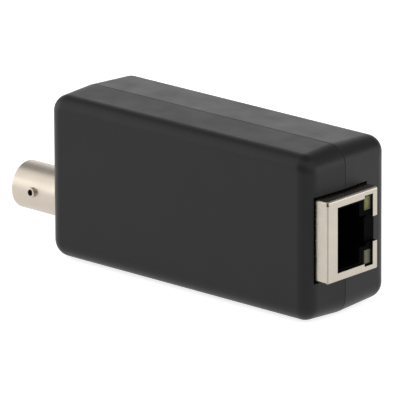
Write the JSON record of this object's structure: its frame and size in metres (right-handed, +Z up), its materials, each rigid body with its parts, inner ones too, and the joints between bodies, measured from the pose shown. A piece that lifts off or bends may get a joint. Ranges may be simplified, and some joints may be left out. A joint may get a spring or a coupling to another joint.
{
  "type": "ethernet over coax adapter",
  "caption": "Inline adapter in a small two-shell moulded case: a bayonet coax jack out of one end and a shielded network jack, turned on its side, out of the other.",
  "frame": {"origin": "middle of the whole part's base, halfway between the two jacks' ends and between the two long faces", "axes": "+X from the coax jack to the network jack, +Y from the front shell to the rear shell, +Z up as the case stands on its long narrow side"},
  "size_m": [0.0856, 0.0232, 0.0336],
  "materials": {
    "case_plastic": "satin moulded, fine texture",
    "jack_sheet": "nickel plated sheet",
    "coax_nickel": "nickel plated, satin",
    "insert_plastic": "moulded",
    "board_laminate": "solder resist",
    "lamp_resin": "tinted, clear",
    "gold_contact": "gold plated",
    "tinned_leads": "tinned",
    "coax_insulator": "turned",
    "package_resin": "moulded",
    "ferrite": "sintered",
    "copper_wire": "enamelled",
    "ceramic": "glazed",
    "capacitor_case": "moulded"
  },
  "bodies": {
    "root": {"front_shell": "case_plastic", "rear_shell": "case_plastic", "circuit_board": "board_laminate", "rj45_shield": "jack_sheet", "rj45_insert": "insert_plastic", "link_lamp": "lamp_resin", "link_lamp_leads": "tinned_leads", "activity_lamp": "lamp_resin", "activity_lamp_leads": "tinned_leads", "bnc_barrel": "coax_nickel", "bnc_insulator": "coax_insulator", "bnc_centre_contact": "gold_contact", "bnc_ground_clip": "tinned_leads", "bnc_base": "insert_plastic", "bnc_cap": "insert_plastic", "lan_transformer": "package_resin", "lan_transformer_leads": "tinned_leads", "balun_core": "ferrite", "balun_winding": "copper_wire", "balun_base": "package_resin", "balun_pins": "tinned_leads", "surge_arrester": "ceramic", "surge_arrester_terminals": "tinned_leads", "film_capacitor": "capacitor_case", "film_capacitor_leads": "tinned_leads", "chip_resistors": "package_resin", "chip_capacitors": "ceramic", "rj45_contact_1": "gold_contact", "rj45_contact_2": "gold_contact", "rj45_contact_3": "gold_contact", "rj45_contact_4": "gold_contact", "rj45_contact_5": "gold_contact", "rj45_contact_6": "gold_contact", "rj45_contact_7": "gold_contact", "rj45_contact_8": "gold_contact"}
  },
  "joints": []
}
